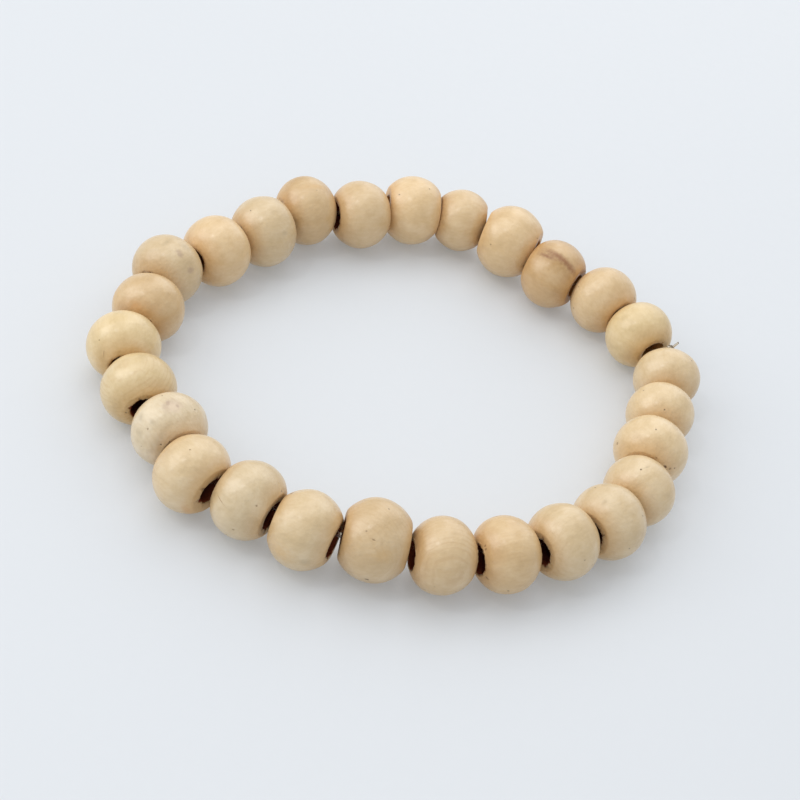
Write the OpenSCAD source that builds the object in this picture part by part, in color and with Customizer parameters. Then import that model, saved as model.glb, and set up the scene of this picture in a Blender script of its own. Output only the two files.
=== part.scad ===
// Wooden bracelet: a closed ring of 27 turned wooden beads on a stretch cord, lying flat.
// Millimetres. X and Y lie in the surface that the beads rest on, and Z points up.
// The origin is the middle of the footprint. Beads are numbered clockwise, seen from
// above, from the knot of the cord round to the knot again.

/* [Beads] */
// Diameter of a mean bead, across the cord
bead_d = 8.5; // [7:0.1:10]
// Length of a mean bead, along the cord
bead_len = 6.5; // [5.6:0.1:7.2]
// How far from the bead's axis the round of its belly is centred: more makes flatter ends
belly_in = 0.7; // [0.4:0.05:0.9]
// Diameter of the hole
bore_d = 3.0; // [2.4:0.1:3.2]
// Radius of the worn edge at each mouth of the hole
mouth_r = 0.2; // [0.1:0.05:0.3]
// Radius of the worn rim where the belly meets the flat end
rim_round = 0.4; // [0.2:0.05:0.6]
// Gap between two beads where their flat ends nearly touch
touch_gap = 0.08; // [0.05:0.01:0.3]

/* [Shape of the ring] */
// How much longer than wide the ring lies, as a part of its mean radius
oval = 0.06; // [0:0.005:0.1]
// Direction of the long way of the ring, in degrees from X
oval_dir = 26; // [0:1:180]
// Direction of the knot from the middle of the ring, in degrees from X
knot_dir = 27; // [0:0.5:90]

/* [Stretch cord and knot] */
// Diameter of the cord
cord_d = 0.6; // [0.5:0.05:0.8]
// Room kept between the cord, or its knot, and the wall of a hole
cord_gap = 0.1; // [0.05:0.01:0.2]
// Diameter of the knot
knot_d = 1.6; // [1.4:0.05:1.9]
// Length of the knot along the cord, between the two flats where the cord meets it
knot_len = 1.3; // [1.1:0.05:1.35]
// Length of the long cut end, from the middle of the knot
long_tail = 3.9; // [2.6:0.1:5]
// Length of the short cut end, from the middle of the knot
short_tail = 2.7; // [2.4:0.1:4]
// Rise of the long cut end above the level, in degrees
long_tail_rise = 48; // [30:1:55]
// Rise of the short cut end above the level, in degrees
short_tail_rise = -8; // [-20:1:0]
// How much farther apart the knot keeps the two beads beside it
knot_room = 0.6; // [0:0.05:1]

/* [Hidden] */
// Circles above twelve sides are true circles; this only sets how fine they look
$fn = 96;

// How each bead differs from the mean bead, read from the photo: its diameter and its
// length, and how far it has slid outwards on the slack of its hole, in millimetres, and
// how far it has turned there, in degrees counter-clockwise seen from above
MORE_D = 0;
MORE_LEN = 1;
OUT = 2;
TURN = 3;
STRAY = [
    [-0.5, -0.3,  1.2, -6], // 1
    [-0.5, -0.3, -0.4,  0], // 2
    [ 0.1, -0.1, -0.7, -2], // 3
    [-0.2, -0.3,  0.6,  0], // 4
    [ 0.1, -0.3,  1.2,  1], // 5
    [ 0.0, -0.2,  1.0,  4], // 6
    [-0.1,  0.1,  0.8,  1], // 7
    [-0.1,  0.2,  0.3,  0], // 8
    [ 0.5,  0.5, -0.8, -2], // 9
    [ 0.1,  0.1,  0.1, -5], // 10
    [ 0.2, -0.3, -0.4, -3], // 11
    [ 0.2, -0.5,  1.1,  0], // 12
    [ 0.0, -0.5, -0.6,  0], // 13
    [-0.1, -0.2,  0.5, -2], // 14
    [-0.1,  0.1,  1.6,  2], // 15
    [-0.1,  0.2,  0.0,  0], // 16
    [ 0.0,  0.2,  0.9, -2], // 17
    [ 0.1,  0.3, -1.1, -3], // 18
    [ 0.2,  0.4, -1.1, -1], // 19
    [ 0.1,  0.2,  1.1,  0], // 20
    [ 0.0,  0.1, -0.1,  4], // 21
    [ 0.2,  0.0,  1.4,  1], // 22
    [-0.6, -0.6,  1.7,  5], // 23
    [ 0.6,  0.4, -0.2,  0], // 24
    [ 0.2, -0.1, -2.0,  4], // 25
    [ 0.0,  0.0, -0.2, -2], // 26
    [-0.1, -0.1,  0.4,  3], // 27
];

bead_count = len(STRAY);
last = bead_count - 1;

function bead_name(i) = str("bead_", i < 9 ? "0" : "", i + 1);

// Sizes of one bead, and the radius of its flat end inside the worn rim
function diameter(i) = bead_d + STRAY[i][MORE_D];
function length(i) = bead_len + STRAY[i][MORE_LEN];
function belly_r(i) = diameter(i) / 2 - belly_in;
function flat_r(i) = max(
    bore_d / 2 + mouth_r,
    belly_in + sqrt(pow(belly_r(i) - rim_round, 2) - pow(length(i) / 2 - rim_round, 2))
);

// Outline of the ring with a mean radius of one: the radius at an angle, how fast it
// changes, the point, and the way that the ring runs there, counter-clockwise
function ring_r(t) = 1 + oval * cos(2 * (t - oval_dir));
function ring_dr(t) = -2 * oval * sin(2 * (t - oval_dir));
function ring_point(t) = ring_r(t) * [cos(t), sin(t)];
function ring_way(t) = t + 90 - atan2(ring_dr(t), ring_r(t));

// Length round the outline up to each step of the angle
ring_steps = 360;
step = 360 / ring_steps;
chords = [for (k = [1 : ring_steps]) norm(ring_point(k * step) - ring_point((k - 1) * step))];
round_to = [for (k = 0, s = 0; k <= ring_steps; s = s + (k < ring_steps ? chords[k] : 0), k = k + 1) s];

// Neighbours touch with the edges of their flat ends: on the inside of the ring, or on the
// outside where the two are turned away from each other. They are spaced along a line inside
// the ring's outline, by how far their ends reach at the edge that touches first, with more
// room for the knot, and the ring is as large as closes it. An oval's bend differs from a
// circle's by three times as much as its radius does.
line_in = bead_d / 4;
mean_turn = 360 / bead_count;
bend_swing = 3 * oval;
function next(i) = (i + 1) % bead_count;
function end_out(i, end) = STRAY[i][OUT] + end * length(i) / 2 * sin(STRAY[i][TURN]);
function end_reach(i, end, out) =
    length(i) / 2 * cos(STRAY[i][TURN]) - end * tan(STRAY[i][TURN]) * (out - end_out(i, end));
function bend_after(i) =
    mean_turn * (1 + bend_swing * cos(2 * (knot_dir - (i + 1) * mean_turn - oval_dir)));
function spacing_at(i, out) =
    end_reach(i, 1, out) + end_reach(next(i), -1, out) + touch_gap + (i == last ? knot_room : 0)
    - (out + line_in) * bend_after(i) * PI / 180;
function spacing(i) = max(
    spacing_at(i, max(end_out(i, 1) - flat_r(i), end_out(next(i), -1) - flat_r(next(i)))),
    spacing_at(i, min(end_out(i, 1) + flat_r(i), end_out(next(i), -1) + flat_r(next(i))))
);
spacings = [for (i = [0 : last]) spacing(i)];
from_knot = [for (i = 0, s = spacings[last] / 2; i < bead_count; s = s + spacings[i], i = i + 1) s];
inner_length = from_knot[last] + spacings[last] / 2;
ring_mean_r = (inner_length + 2 * PI * line_in) / round_to[ring_steps];

function turned(t) = (ring_way(t) - ring_way(0)) * PI / 180;
inner_run = [for (k = [0 : ring_steps]) ring_mean_r * round_to[k] - line_in * turned(k * step)];
angle_of_run = [for (k = [0 : ring_steps]) [inner_run[k], k * step]];
run_of_angle = [for (k = [0 : ring_steps]) [k * step, inner_run[k]]];
knot_at = lookup(knot_dir, run_of_angle);

function wrap(s) = s < 0 ? s + inner_length : s;
function bead_angle(i) = lookup(wrap(knot_at - from_knot[i]), angle_of_run);

// Places of one bead: the way that the ring runs there, clockwise, the way that its hole
// runs, the unit vectors outwards and along the hole, and its middle before the ring is
// centred
function way_round(i) = ring_way(bead_angle(i)) + 180;
function hole_way(i) = way_round(i) + STRAY[i][TURN];
function outward(i) = [-sin(way_round(i)), cos(way_round(i)), 0];
function along(i) = [cos(hole_way(i)), sin(hole_way(i)), 0];
function on_ring(i) =
    let (p = ring_mean_r * ring_point(bead_angle(i)))
    [p[0], p[1], diameter(i) / 2];
function loose_middle(i) = on_ring(i) + STRAY[i][OUT] * outward(i);

// The footprint's middle, from how far each bead reaches along X and along Y
function reach_x(i) = belly_in * abs(sin(hole_way(i))) + belly_r(i);
function reach_y(i) = belly_in * abs(cos(hole_way(i))) + belly_r(i);
high = [
    max([for (i = [0 : last]) loose_middle(i)[0] + reach_x(i)]),
    max([for (i = [0 : last]) loose_middle(i)[1] + reach_y(i)])
];
low = [
    min([for (i = [0 : last]) loose_middle(i)[0] - reach_x(i)]),
    min([for (i = [0 : last]) loose_middle(i)[1] - reach_y(i)])
];
footprint_middle = [(high[0] + low[0]) / 2, (high[1] + low[1]) / 2, 0];

function middle(i) = loose_middle(i) - footprint_middle;
function mouth(i, end) = middle(i) + end * length(i) / 2 * along(i);

// The gap after each bead: its middle, the way through it, and how far inwards the tight
// cord, or anything as wide on it, can lie there and still clear both holes
function unit(v) = v / norm(v);
function gap_middle(i) = (mouth(i, 1) + mouth(next(i), -1)) / 2;
function gap_along(i) = unit(along(i) + along(next(i)));
function gap_outward(i) = [-gap_along(i)[1], gap_along(i)[0], 0];
function gap_shift(i) = (mouth(i, 1) - mouth(next(i), -1)) / 2;
function slack(i, width) =
    sqrt(pow((bore_d - width) / 2 - cord_gap, 2) - pow(gap_shift(i)[2], 2))
    - abs(gap_shift(i) * gap_outward(i));
function gap_seat(i, width) = gap_middle(i) - slack(i, width) * gap_outward(i);

knot_middle = gap_seat(last, knot_d);

// One bead: half of its outline turned about the hole. The belly is one round, cut flat at
// both ends, and the edge of the hole and the rim of the flat end are worn round.
module bead_outline(d, bead_l) {
    bore_r = bore_d / 2;
    difference() {
        intersection() {
            translate([belly_in, 0]) circle(r = d / 2 - belly_in);
            translate([bore_r, -bead_l / 2]) square([d, bead_l]);
        }
        for (end = [0, 1]) mirror([0, end]) {
            translate([bore_r, bead_l / 2 - mouth_r]) mouth_corner();
            rim_corner(d / 2 - belly_in, bead_l / 2);
        }
    }
}

module mouth_corner() {
    spare = 0.5;
    difference() {
        translate([-spare, 0]) square([spare + mouth_r, mouth_r + spare]);
        translate([mouth_r, 0]) circle(r = mouth_r);
    }
}

// What is worn off the rim: all that lies between the belly's way out and the flat end's,
// outside a small round that meets both. It is a hair too large to only touch them, so that
// each edge is crisp.
module rim_corner(belly, half) {
    hair = 0.001;
    round_up = half - rim_round;
    round_out = sqrt(pow(belly - rim_round, 2) - pow(round_up, 2));
    way_out = [round_out, round_up] / (belly - rim_round);
    translate([belly_in + round_out, round_up])
        difference() {
            polygon([[0, 0], 2 * way_out, 2 * way_out + [0, 2], [0, 2]]);
            circle(r = rim_round + hair);
        }
}

module bead(i) {
    color("wheat")
        translate(middle(i))
            rotate([0, 90, hole_way(i)])
                rotate_extrude() bead_outline(diameter(i), length(i));
}

// The cord: one tube from flat to flat of the knot, bent only in the gaps between beads,
// where it lies against the inner side of the holes
cord_sides = 8;
cord_route = concat(
    [knot_middle + knot_len / 2 * gap_along(last)],
    [for (i = [0 : last - 1]) gap_seat(i, cord_d)],
    [knot_middle - knot_len / 2 * gap_along(last)]
);
cord_last = len(cord_route) - 1;

function cord_way(k) =
    k == 0 || k == cord_last ? gap_along(last) : unit(cord_route[k + 1] - cord_route[k - 1]);
function cord_ring(k) =
    let (way = cord_way(k), side = unit(cross([0, 0, 1], way)), up = cross(way, side))
    [for (a = [0 : cord_sides - 1])
        cord_route[k] + cord_d / 2 * (cos(a * 360 / cord_sides) * side + sin(a * 360 / cord_sides) * up)];
function cord_side_faces(k, a) =
    let (b = (a + 1) % cord_sides, here = k * cord_sides, there = (k + 1) * cord_sides)
    [[here + a, there + a, there + b], [here + a, there + b, here + b]];

module elastic_cord() {
    points = [for (k = [0 : cord_last]) each cord_ring(k)];
    sides = [for (k = [0 : cord_last - 1], a = [0 : cord_sides - 1]) each cord_side_faces(k, a)];
    start = [for (a = [0 : cord_sides - 1]) a];
    end = [for (a = [cord_sides - 1 : -1 : 0]) cord_last * cord_sides + a];
    color("gainsboro") polyhedron(points, concat(sides, [start, end]));
}

// The knot: a ball with a flat where the cord comes in and goes out, and two cut ends that
// stick out through the open side of the gap
module tail(tail_length, rise) {
    rotate([0, 90 - rise, 0]) cylinder(h = tail_length, d = cord_d);
}

module knot_outline() {
    intersection() {
        circle(d = knot_d);
        translate([0, -knot_len / 2]) square([knot_d, knot_len]);
    }
}

module knot() {
    outward_way = atan2(gap_outward(last)[1], gap_outward(last)[0]);
    color("lightgray")
        translate(knot_middle)
            rotate([0, 0, outward_way]) {
                rotate([90, 0, 180]) rotate_extrude() knot_outline();
                tail(long_tail, long_tail_rise);
                tail(short_tail, short_tail_rise);
            }
}

for (i = [0 : last]) bead(i);
elastic_cord();
knot();
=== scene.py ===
# %% [markdown]
# # A bracelet of turned wooden beads
#
# The real object is a stretch bracelet: 27 small beads of pale wood, turned on a lathe, drilled
# along their axis and varnished, on a clear elastic cord that is knotted once. The exact solids
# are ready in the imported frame. This lesson puts a finished surface over each of them: uneven
# bellies, worn and chipped mouths, wood grain under varnish, and the cord and knot between.

# %% Load the frame
import math
from functools import partial

import bpy
import numpy as np
from mathutils import Matrix, Vector


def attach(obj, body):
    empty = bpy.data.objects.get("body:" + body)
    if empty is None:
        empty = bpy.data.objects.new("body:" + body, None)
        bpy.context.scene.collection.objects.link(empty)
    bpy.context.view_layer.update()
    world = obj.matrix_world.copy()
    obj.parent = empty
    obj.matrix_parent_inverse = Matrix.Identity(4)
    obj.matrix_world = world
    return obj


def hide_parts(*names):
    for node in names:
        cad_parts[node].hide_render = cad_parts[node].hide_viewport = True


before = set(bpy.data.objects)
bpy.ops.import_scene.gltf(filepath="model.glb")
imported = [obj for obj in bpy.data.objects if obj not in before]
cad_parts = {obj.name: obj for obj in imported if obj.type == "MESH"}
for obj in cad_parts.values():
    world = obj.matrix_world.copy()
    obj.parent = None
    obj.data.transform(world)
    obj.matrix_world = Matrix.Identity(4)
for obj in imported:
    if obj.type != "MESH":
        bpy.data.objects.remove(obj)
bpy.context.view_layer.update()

MM = 0.001
BEADS = sorted(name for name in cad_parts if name.startswith("bead_"))


# %% [markdown]
# ## The camera
#
# The picture to match looks down on the bracelet from about 43 degrees, with the camera rolled
# a little, so that the long way of the ring slopes. A camera is a place and three directions:
# right, up and back. They are the columns of its matrix, so no angle has to be guessed twice.

# %% The camera
LENS = 80
SENSOR_WIDTH = 36
NEAREST_SEEN = 5 * MM
ELEVATION = math.radians(43.5)
ROLL = math.radians(16)
DISTANCE = 208 * MM
LOOK_AT = Vector((0.73, -1.66, 0)) * MM


def link_in(obj):
    """Puts a new object into the scene and gives it back."""
    bpy.context.scene.collection.objects.link(obj)
    return obj


back = Vector((0, -math.cos(ELEVATION), math.sin(ELEVATION)))
level = Vector((1, 0, 0))
rise = back.cross(level)
right = math.cos(ROLL) * level + math.sin(ROLL) * rise
up = math.cos(ROLL) * rise - math.sin(ROLL) * level
facing = Matrix((right, up, back)).transposed().to_4x4()

camera = link_in(bpy.data.objects.new("camera", bpy.data.cameras.new("camera")))
camera.data.lens = LENS
camera.data.sensor_width = SENSOR_WIDTH
camera.data.clip_start = NEAREST_SEEN
camera.matrix_world = Matrix.Translation(LOOK_AT + DISTANCE * back) @ facing
bpy.context.scene.camera = camera
print("camera at", [round(x / MM) for x in camera.matrix_world.translation], "mm")

# %% [markdown]
# ## Building node trees
#
# Every material and every Geometry Nodes tree below is made of the same three steps: make a
# node, set it, wire it. One helper does all three. An input that is another node's output is
# wired, and any other value is typed in. Smaller helpers do sums, which are the most common
# nodes, and soft steps from one value to another.


# %% Helpers for nodes
def plug(tree, value, socket):
    """Wires another node's output into a socket, or types any other value into it."""
    if isinstance(value, bpy.types.NodeSocket):
        tree.links.new(value, socket)
    else:
        socket.default_value = value


def add(tree, kind, inputs=(), **settings):
    """Makes one node. Settings are its properties; inputs are its sockets, by name or number."""
    node = tree.nodes.new(kind)
    for name, value in settings.items():
        setattr(node, name, value)
    for name, value in dict(inputs).items():
        plug(tree, value, node.inputs[name])
    return node


def sum_of(tree, operation, *terms):
    """One Math node, such as MULTIPLY or SQRT, and its result."""
    return add(tree, "ShaderNodeMath", dict(enumerate(terms)), operation=operation).outputs[0]


def vector_of(tree, operation, *terms):
    """One Vector Math node and its result: a number for LENGTH or DOT_PRODUCT, else a vector."""
    node = add(tree, "ShaderNodeVectorMath", dict(enumerate(terms)), operation=operation)
    return node.outputs["Value" if operation in ("LENGTH", "DOT_PRODUCT") else "Vector"]


def scaled(tree, vector, factor):
    """A vector times a number."""
    node = add(tree, "ShaderNodeVectorMath", {0: vector, "Scale": factor}, operation="SCALE")
    return node.outputs["Vector"]


def fade(tree, value, start, end, low=0.0, high=1.0):
    """Goes smoothly from low, where value is start, to high, where it is end."""
    inputs = {"Value": value, "From Min": start, "From Max": end, "To Min": low, "To Max": high}
    node = add(tree, "ShaderNodeMapRange", inputs, interpolation_type="SMOOTHSTEP")
    return node.outputs["Result"]


# %% Helpers for materials
def new_material(name):
    """A material with its node tree and its shader."""
    material = bpy.data.materials.new(name)
    material.use_nodes = True
    return material, material.node_tree, material.node_tree.nodes["Principled BSDF"]


def dress(tree, shader, looks):
    """Sets a shader's inputs by name."""
    for name, value in looks.items():
        plug(tree, value, shader.inputs[name])


def noise(tree, place, scale, detail=2.0, roughness=0.5, seed=None):
    """Soft noise from 0 to 1, drawn afresh by a seed. Scale is in waves per unit of the place."""
    inputs = {"Vector": place, "Scale": scale, "Detail": detail, "Roughness": roughness}
    dimensions = "3D"
    if seed is not None:
        inputs["W"], dimensions = seed, "4D"
    return add(tree, "ShaderNodeTexNoise", inputs, noise_dimensions=dimensions).outputs["Fac"]


def bump(tree, height, strength, depth):
    """A surface direction that leans as if the height, from 0 to 1, were this deep."""
    inputs = {"Height": height, "Strength": strength, "Distance": depth}
    return add(tree, "ShaderNodeBump", inputs).outputs["Normal"]


def blend(tree, share, low, high, how="MIX"):
    """Mixes two colours: share 0 gives low, and share 1 gives high."""
    inputs = {0: share, 6: low, 7: high}
    return add(tree, "ShaderNodeMix", inputs, data_type="RGBA", blend_type=how).outputs[2]


def blend_number(tree, share, low, high):
    """Mixes two numbers in the same way."""
    inputs = {0: share, 2: low, 3: high}
    return add(tree, "ShaderNodeMix", inputs, data_type="FLOAT").outputs[0]


# %% [markdown]
# ## Floor and light
#
# The bracelet lies on a plain pale board under very soft light. Most of it comes from all round,
# which a pale world gives. Three wide lamps stand for windows, above, behind and at the left.
# They give the tops of the beads a broad sheen, and the soft shadows fall towards the viewer. A
# small lamp at the left adds the tiny glints. The board glows faintly, so that it stays as pale
# as the real one without brighter lamps on the beads.

# %% The board
BOARD_SIDE = 6.0
BOARD_TINTS = ((0.525, 0.545, 0.57, 1), (0.555, 0.575, 0.60, 1))
BOARD_GLOW = (0.95, 0.98, 1.0, 1)
GLOW_STRENGTH = 0.16
BOARD_ROUGHNESS = (0.45, 0.6)
CLOUDS_PER_M = 6.0
GRITS_PER_M = 900.0
GRIT_BUMP = (0.05, 0.1 * MM)

# The board has faint clouds of tint and a fine grit
board, tree, shader = new_material("pale_board")
place = add(tree, "ShaderNodeTexCoord").outputs["Object"]
cloud = noise(tree, place, CLOUDS_PER_M, detail=3.0)
grit = noise(tree, place, GRITS_PER_M)
dress(tree, shader, {
    "Base Color": blend(tree, cloud, *BOARD_TINTS),
    "Emission Color": BOARD_GLOW,
    "Emission Strength": GLOW_STRENGTH,
    "Roughness": fade(tree, grit, 0.0, 1.0, *BOARD_ROUGHNESS),
    "Normal": bump(tree, grit, *GRIT_BUMP),
})

floor_mesh = bpy.data.meshes.new("floor")
corners = [Vector((x, y, 0)) * BOARD_SIDE / 2 for x, y in ((-1, -1), (1, -1), (1, 1), (-1, 1))]
floor_mesh.from_pydata(corners, [], [(0, 1, 2, 3)])
floor_mesh.materials.append(board)
floor = link_in(bpy.data.objects.new("floor", floor_mesh))
print("board:", BOARD_SIDE, "m square")

# %% The lamps and the world
DAYLIGHT = (1.0, 0.99, 0.97)
WHITE = (1, 1, 1)
WORLD_COLOUR = (0.93, 0.96, 1.0, 1)
WORLD_STRENGTH = 0.69


def lamp(name, azimuth, elevation, distance, size, power, colour):
    """A soft square lamp that faces the bracelet. Azimuth 0 is straight behind it."""
    a, e = math.radians(azimuth), math.radians(elevation)
    way = Vector((math.sin(a) * math.cos(e), math.cos(a) * math.cos(e), math.sin(e)))
    light = bpy.data.lights.new(name, "AREA")
    light.shape = "SQUARE"
    light.size = size
    light.energy = power
    light.color = colour
    obj = link_in(bpy.data.objects.new(name, light))
    obj.location = way * distance
    obj.rotation_euler = way.to_track_quat("Z", "Y").to_euler()
    obj.visible_camera = False


lamp("sky_window", azimuth=-28, elevation=70, distance=0.6, size=0.5, power=0.9, colour=DAYLIGHT)
lamp("back_window", azimuth=15, elevation=30, distance=0.7, size=0.6, power=1.05, colour=DAYLIGHT)
lamp("left_window", azimuth=-95, elevation=35, distance=0.7, size=0.5, power=1.7, colour=DAYLIGHT)
lamp("side_glint", azimuth=-115, elevation=62, distance=0.6, size=0.05, power=0.2, colour=WHITE)

world = bpy.data.worlds.new("studio")
world.use_nodes = True
sky = world.node_tree.nodes["Background"].inputs
sky["Color"].default_value = WORLD_COLOUR
sky["Strength"].default_value = WORLD_STRENGTH
bpy.context.scene.world = world
bpy.context.scene.view_settings.view_transform = "Standard"
print("lamps:", len(bpy.data.lights))

# %% [markdown]
# ## Measuring the beads
#
# Each bead of the frame has its own size and lies its own way. Nothing is typed twice: a bead's
# middle, diameter, length and axis are measured on its mesh. The axis is a level direction, and
# a turned shape has two level directions in which its faces balance: along the axis and
# across it. The shorter extent is the one along the axis.

# %% Measure each bead
SMALLEST_AREA = 1e-15


def triangles_of(node):
    """Corner points of a node's triangles, as one array."""
    mesh = node.data
    points = np.empty(len(mesh.vertices) * 3)
    mesh.vertices.foreach_get("co", points)
    mesh.calc_loop_triangles()
    index = np.empty(len(mesh.loop_triangles) * 3, dtype=int)
    mesh.loop_triangles.foreach_get("vertices", index)
    return points.reshape(-1, 3)[index].reshape(-1, 3, 3)


def measure(name):
    """Middle, level unit vector along the hole, diameter and length of one bead."""
    triangles = triangles_of(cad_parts[name])
    points = triangles.reshape(-1, 3)
    middle = (points.min(axis=0) + points.max(axis=0)) / 2
    faces = np.cross(triangles[:, 1] - triangles[:, 0], triangles[:, 2] - triangles[:, 0])
    areas = np.linalg.norm(faces, axis=1, keepdims=True)
    level_faces = faces[:, :2] / np.sqrt(np.maximum(areas, SMALLEST_AREA))
    _, ways = np.linalg.eigh(level_faces.T @ level_faces)
    extents = [np.ptp(points[:, :2] @ ways[:, k]) for k in (0, 1)]
    k = int(np.argmin(extents))
    diameter = points[:, 2].max() - points[:, 2].min()
    return {
        "middle": Vector(middle),
        "along": Vector((ways[0, k], ways[1, k], 0)),
        "diameter": float(diameter),
        "length": float(extents[k]),
    }


sizes = [measure(name) for name in BEADS]

# Every bead's axis points onward round the ring, so that one end is ahead and one behind
for i, bead in enumerate(sizes):
    onward = sizes[(i + 1) % len(sizes)]["middle"] - sizes[i - 1]["middle"]
    if bead["along"].dot(onward) < 0:
        bead["along"] = -bead["along"]
for key in ("diameter", "length"):
    values = [bead[key] / MM for bead in sizes]
    print(f"{key}: {min(values):.2f} to {max(values):.2f} mm, mean {sum(values) / len(values):.2f}")

# %% [markdown]
# ## One turned bead, as a rule
#
# A turned bead is an outline spun about its hole. The outline is made of arcs: the belly, the
# worn rim at each end, and the worn edge of the hole's mouth. Drawn by hand it would fit one
# bead only. So one small tree lays points on an arc, and the bead's tree uses it five times,
# strings the points into a closed line, and sweeps that line round a circle. There is no seam
# and no pole, and named sizes make each of the 27 beads from it.


# %% Helpers for Geometry Nodes trees
def new_tree(name, inputs):
    """A Geometry Nodes tree with named inputs: each has a number to start from, or a kind."""
    tree = bpy.data.node_groups.new(name, "GeometryNodeTree")
    for label, value in inputs.items():
        kind = value if isinstance(value, str) else type(value).__name__.capitalize()
        socket = tree.interface.new_socket(label, in_out="INPUT", socket_type=f"NodeSocket{kind}")
        if kind != value:
            socket.default_value = value
    tree.interface.new_socket("Geometry", in_out="OUTPUT", socket_type="NodeSocketGeometry")
    return tree, add(tree, "NodeGroupInput").outputs


def then(tree, shape, kind, inputs=(), **settings):
    """Passes a shape through one more GeometryNode of this kind and gives the new shape."""
    return add(tree, f"GeometryNode{kind}", {0: shape, **dict(inputs)}, **settings).outputs[0]


def outline_points(tree, count, out, along, order):
    """Points of an outline, each with its number in the order of the line."""
    place = add(tree, "ShaderNodeCombineXYZ", {0: out, 1: along}).outputs[0]
    dots = add(tree, "GeometryNodePoints", {"Count": count, "Position": place}).outputs[0]
    return then(tree, dots, "StoreNamedAttribute", {"Name": "order", "Value": order})


def end_tree(tree, shape, material):
    """Gives the shape out of the tree as one real mesh of one material."""
    shape = then(tree, shape, "RealizeInstances")
    shape = then(tree, shape, "SetMaterial", {"Material": material})
    add(tree, "NodeGroupOutput", {0: shape})
    print(f"{tree.name}: {len(tree.nodes)} nodes")


# %% A tree for points on an arc
# An outline is swept round a circle of this radius, so its points are placed from the circle
# and not from the axis
LATHE = 1.0 * MM

arc_tree, given = new_tree("points_on_an_arc", {
    "Count": 8, "Centre Out": 0.0, "Centre Along": 0.0, "Radius": 1.0, "Start": 0.0, "End": 1.0,
    "Side": 1.0, "Order": 0.0,
})
arc_sum = partial(sum_of, arc_tree)

step = add(arc_tree, "GeometryNodeInputIndex").outputs[0]
share = arc_sum("DIVIDE", step, arc_sum("SUBTRACT", given["Count"], 1.0))
sweep = arc_sum("SUBTRACT", given["End"], given["Start"])
turn = arc_sum("MULTIPLY_ADD", sweep, share, given["Start"])
centre_out = arc_sum("SUBTRACT", given["Centre Out"], LATHE)
out = arc_sum("MULTIPLY_ADD", arc_sum("COSINE", turn), given["Radius"], centre_out)
along = arc_sum("MULTIPLY_ADD", arc_sum("SINE", turn), given["Radius"], given["Centre Along"])
sided = arc_sum("MULTIPLY", along, given["Side"])
order = arc_sum("MULTIPLY_ADD", step, given["Side"], given["Order"])
dots = outline_points(arc_tree, given["Count"], out, sided, order)
add(arc_tree, "NodeGroupOutput", {0: dots})
print("arc tree:", len(arc_tree.nodes), "nodes")

# %% The bead tree and its sizes
# How far the belly's arc has its centre out from the axis, and the rim's radius, in mm
BELLY_IN = 0.7
RIM_ROUND = 0.4

bead_tree, given = new_tree("turned_bead", {
    "Diameter": 8.5 * MM, "Length": 6.5 * MM, "Hole": 3.0 * MM, "Belly In": BELLY_IN * MM,
    "Rim Round": RIM_ROUND * MM, "Mouth Round": 0.2 * MM, "Steps Round": 168, "Steps Along": 56,
    "Slant Ahead": 0.0, "Slant Behind": 0.0, "Unevenness": 0.07 * MM, "Chips": 0.22 * MM,
    "Seed": 0.0, "Wood": "Material",
})
bead_sum = partial(sum_of, bead_tree)
bead_fade = partial(fade, bead_tree)

half = bead_sum("MULTIPLY", given["Length"], 0.5)
hole_r = bead_sum("MULTIPLY", given["Hole"], 0.5)
belly_r = bead_sum("SUBTRACT", bead_sum("MULTIPLY", given["Diameter"], 0.5), given["Belly In"])
mouth_out = bead_sum("ADD", hole_r, given["Mouth Round"])
mouth_up = bead_sum("SUBTRACT", half, given["Mouth Round"])

# The rim's arc touches the belly's from inside, so its centre lies rim_reach from the belly's
# centre, rim_up of it along the hole. The third side of that right triangle places the rim's
# centre, and its angle is the turn at which the two arcs meet
rim_up = bead_sum("SUBTRACT", half, given["Rim Round"])
rim_reach = bead_sum("SUBTRACT", belly_r, given["Rim Round"])
side_squared = bead_sum("SUBTRACT", bead_sum("POWER", rim_reach, 2.0),
                        bead_sum("POWER", rim_up, 2.0))
rim_side = bead_sum("SQRT", side_squared)
rim_turn = bead_sum("ARCTAN2", rim_up, rim_side)
rim_out = bead_sum("MAXIMUM", bead_sum("ADD", rim_side, given["Belly In"]), mouth_out)
print("bead tree inputs:", len(given) - 1)

# %% The outline of a bead
QUARTER = math.pi / 2
CORNER_STEPS = 6
WALL_STEPS = 14
NEAR, FAR = 1.0, -1.0

# Every stretch of the outline numbers its points from a thousand of its own, in the order in
# which the line runs round. The numbers of the far rim and mouth count down
STRETCH = 1000.0

# Each arc's values are those that the arc tree asks for, in its order
rim = (CORNER_STEPS, rim_out, rim_up, given["Rim Round"], rim_turn, QUARTER)
lip = (CORNER_STEPS, mouth_out, mouth_up, given["Mouth Round"], QUARTER, 2 * QUARTER)
down_turn = bead_sum("MULTIPLY", rim_turn, -1.0)
ARCS = {
    "belly": (given["Steps Along"], given["Belly In"], 0.0, belly_r, down_turn, rim_turn,
              NEAR, 0.0),
    "rim": (*rim, NEAR, STRETCH),
    "mouth": (*lip, NEAR, 2 * STRETCH),
    "far mouth": (*lip, FAR, 5 * STRETCH),
    "far rim": (*rim, FAR, 6 * STRETCH),
}
outline = add(bead_tree, "GeometryNodeJoinGeometry")
for label, terms in ARCS.items():
    arc = add(bead_tree, "GeometryNodeGroup", node_tree=arc_tree, label=label)
    for socket, term in zip(arc.inputs, terms):
        plug(bead_tree, term, socket)
    bead_tree.links.new(arc.outputs[0], outline.inputs[0])

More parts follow.
